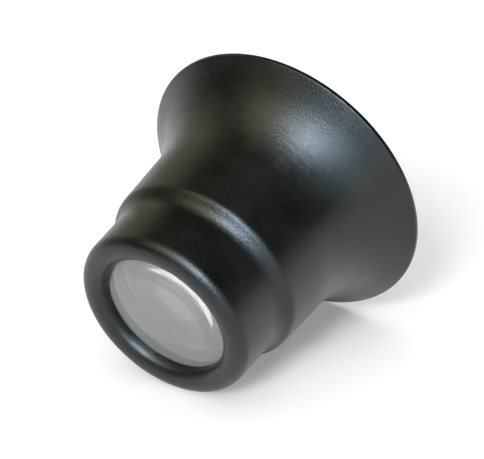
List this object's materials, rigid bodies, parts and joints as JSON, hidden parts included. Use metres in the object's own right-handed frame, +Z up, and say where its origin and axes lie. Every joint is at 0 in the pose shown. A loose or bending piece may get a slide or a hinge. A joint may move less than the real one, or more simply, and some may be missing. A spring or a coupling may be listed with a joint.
{
  "type": "eye loupe",
  "caption": "Watchmaker's eye loupe: a flared horn held in the eye socket, with a lens pair in its narrow end behind a rounded lip, kept by a spacer and a screwed retaining ring.",
  "frame": {"origin": "under the middle of the loupe's box, on the surface that it lies on", "axes": "+Z up. The optical axis lies in the YZ plane: the lens end points towards -Y and dips 15.6 degrees below the horizontal, and the eyecup opens towards +Y. +X runs across the eye rim."},
  "size_m": [0.0378, 0.0352, 0.0366],
  "materials": {
    "horn_plastic": "satin black moulded plastic with a fine grain",
    "lens_glass": "clear polished optical glass with a finely ground edge",
    "fitting_plastic": "plain matt black plastic"
  },
  "bodies": {
    "horn": {"horn_shell": "horn_plastic"},
    "lens_pack": {"front_lens": "lens_glass", "lens_spacer": "fitting_plastic", "rear_lens": "lens_glass"},
    "ring": {"retaining_ring": "fitting_plastic"}
  },
  "joints": [
    {"name": "pack_slide", "type": "slide", "parent": "horn", "child": "lens_pack", "axis": [0, 0.9631, 0.2692], "range_m": [0, 0.00225]},
    {"name": "ring_turn", "type": "hinge", "parent": "lens_pack", "child": "ring", "pos_m": [0, -0.00345, 0.01394], "axis": [0, 0.9631, 0.2692], "range_deg": [0, 1080]}
  ],
  "couplings": [
    {"joint": "ring_turn", "follows": "pack_slide", "rad_per_m": 8377.6}
  ]
}
